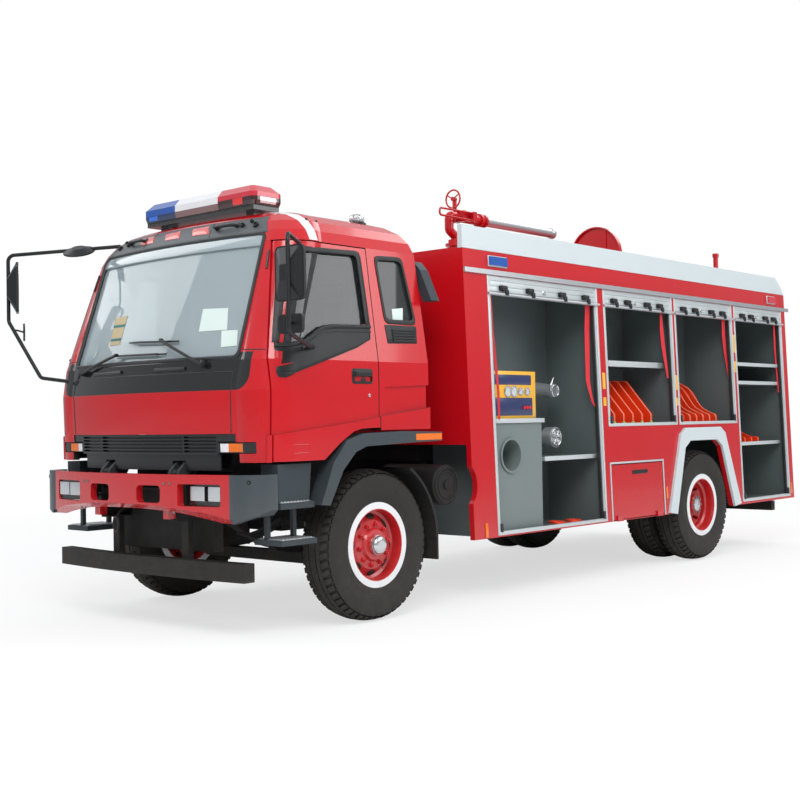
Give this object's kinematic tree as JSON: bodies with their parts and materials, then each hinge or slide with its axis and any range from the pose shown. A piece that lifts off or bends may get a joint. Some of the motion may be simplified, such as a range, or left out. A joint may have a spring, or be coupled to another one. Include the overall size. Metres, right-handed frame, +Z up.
{
  "type": "fire truck",
  "caption": "Two-axle cab-over fire truck with a tilting cab, open side lockers, a pump panel and a roof water monitor.",
  "frame": {"origin": "on the ground under the middle of the truck's outline", "axes": "+X to the truck's left, +Y to its rear, +Z up"},
  "size_m": [3.12, 7.94, 3.4538],
  "materials": {
    "red_paint": "gloss red paint",
    "board_paint": "pale grey-white paint",
    "frame_paint": "black chassis paint",
    "locker_sheet": "grey painted sheet",
    "bright_metal": "brushed aluminium",
    "tyre_rubber": "black rubber",
    "dark_plastic": "dark grey moulded plastic",
    "black_plastic": "black plastic",
    "rack_plastic": "orange-red plastic",
    "clear_glass": "clear glass",
    "lamp_plastic": "coloured lamp lens",
    "seat_cloth": "black seat cloth",
    "trim_plastic": "grey cab trim",
    "engine_iron": "grey engine paint",
    "tank_steel": "grey steel"
  },
  "bodies": {
    "chassis": {"frame_rails": "frame_paint", "underrun_bar": "frame_paint", "front_bumper": "red_paint", "headlamps": "clear_glass", "entry_steps": "dark_plastic", "mudguards": "dark_plastic", "engine_block": "engine_iron", "front_axle": "frame_paint", "leaf_springs": "frame_paint", "rear_axle": "frame_paint", "side_tanks": "frame_paint", "body_side_left": "red_paint", "body_side_right": "red_paint", "body_ends": "red_paint", "roof_deck": "red_paint", "roof_boards": "board_paint", "drip_rails": "bright_metal", "pump_bay": "locker_sheet", "middle_bays": "locker_sheet", "rear_bay": "locker_sheet", "water_tank": "tank_steel", "roller_shutters": "bright_metal", "hose_racks": "rack_plastic", "pump_cabinets": "locker_sheet", "arch_trims": "board_paint", "body_lamps": "lamp_plastic", "rear_ladder": "bright_metal"},
    "cab": {"cab_front": "red_paint", "cab_rear": "red_paint", "cab_roof": "red_paint", "cab_floor": "trim_plastic", "cab_glass": "clear_glass", "grille": "black_plastic", "light_bar": "lamp_plastic", "snorkel": "dark_plastic", "arch_flares": "dark_plastic", "seats": "seat_cloth", "dashboard": "trim_plastic", "mirror_right": "black_plastic"},
    "door_left": {"cab_door_left": "red_paint", "door_glass_left": "clear_glass", "mirror_left": "black_plastic"},
    "door_right": {"cab_door_right": "red_paint", "door_glass_right": "clear_glass"},
    "hub_left": {"knuckle_left": "frame_paint"},
    "hub_right": {"knuckle_right": "frame_paint"},
    "front_wheel_left": {"front_tyre_left": "tyre_rubber", "front_rim_left": "red_paint"},
    "front_wheel_right": {"front_tyre_right": "tyre_rubber", "front_rim_right": "red_paint"},
    "rear_wheels_left": {"rear_tyres_left": "tyre_rubber", "rear_rims_left": "red_paint"},
    "rear_wheels_right": {"rear_tyres_right": "tyre_rubber", "rear_rims_right": "red_paint"},
    "locker_door_left": {"drop_door_left": "red_paint"},
    "locker_door_right": {"drop_door_right": "red_paint"},
    "turret": {"monitor_turret": "red_paint"},
    "barrel": {"monitor_barrel": "bright_metal"},
    "lid": {"tank_lid": "red_paint"}
  },
  "joints": [
    {"name": "cab_tilt", "type": "hinge", "parent": "chassis", "child": "cab", "pos_m": [0, -3.8, 1.05], "axis": [1, 0, 0], "range_deg": [0, 45]},
    {"name": "door_left_swing", "type": "hinge", "parent": "cab", "child": "door_left", "pos_m": [1.206, -3.65, 1.85], "axis": [0, 0, -1], "range_deg": [0, 65]},
    {"name": "door_right_swing", "type": "hinge", "parent": "cab", "child": "door_right", "pos_m": [-1.206, -3.65, 1.85], "axis": [0, 0, 1], "range_deg": [0, 65]},
    {"name": "steer_left", "type": "hinge", "parent": "chassis", "child": "hub_left", "pos_m": [0.868, -2.67, 0.527], "axis": [0, 0, 1], "range_deg": [-32, 32]},
    {"name": "steer_right", "type": "hinge", "parent": "chassis", "child": "hub_right", "pos_m": [-0.868, -2.67, 0.527], "axis": [0, 0, 1], "range_deg": [-32, 32]},
    {"name": "front_roll_left", "type": "hinge", "parent": "hub_left", "child": "front_wheel_left", "pos_m": [1.03, -2.67, 0.527], "axis": [1, 0, 0], "continuous": true},
    {"name": "front_roll_right", "type": "hinge", "parent": "hub_right", "child": "front_wheel_right", "pos_m": [-1.03, -2.67, 0.527], "axis": [1, 0, 0], "continuous": true},
    {"name": "rear_roll_left", "type": "hinge", "parent": "chassis", "child": "rear_wheels_left", "pos_m": [0.94, 1.88, 0.527], "axis": [1, 0, 0], "continuous": true},
    {"name": "rear_roll_right", "type": "hinge", "parent": "chassis", "child": "rear_wheels_right", "pos_m": [-0.94, 1.88, 0.527], "axis": [1, 0, 0], "continuous": true},
    {"name": "locker_left_drop", "type": "hinge", "parent": "chassis", "child": "locker_door_left", "pos_m": [1.255, 0.67, 0.488], "axis": [0, 1, 0], "range_deg": [0, 90]},
    {"name": "locker_right_drop", "type": "hinge", "parent": "chassis", "child": "locker_door_right", "pos_m": [-1.255, 0.67, 0.488], "axis": [0, -1, 0], "range_deg": [0, 90]},
    {"name": "monitor_turn", "type": "hinge", "parent": "chassis", "child": "turret", "pos_m": [0, -0.33, 3], "axis": [0, 0, 1], "range_deg": [-170, 170]},
    {"name": "monitor_tip", "type": "hinge", "parent": "turret", "child": "barrel", "pos_m": [0, -0.2, 3.212], "axis": [1, 0, 0], "range_deg": [-10, 70]},
    {"name": "lid_hinge", "type": "hinge", "parent": "chassis", "child": "lid", "pos_m": [0, 1.99, 2.74], "axis": [1, 0, 0], "range_deg": [0, 90]}
  ],
  "couplings": [
    {"joint": "steer_right", "follows": "steer_left", "ratio": 1}
  ]
}
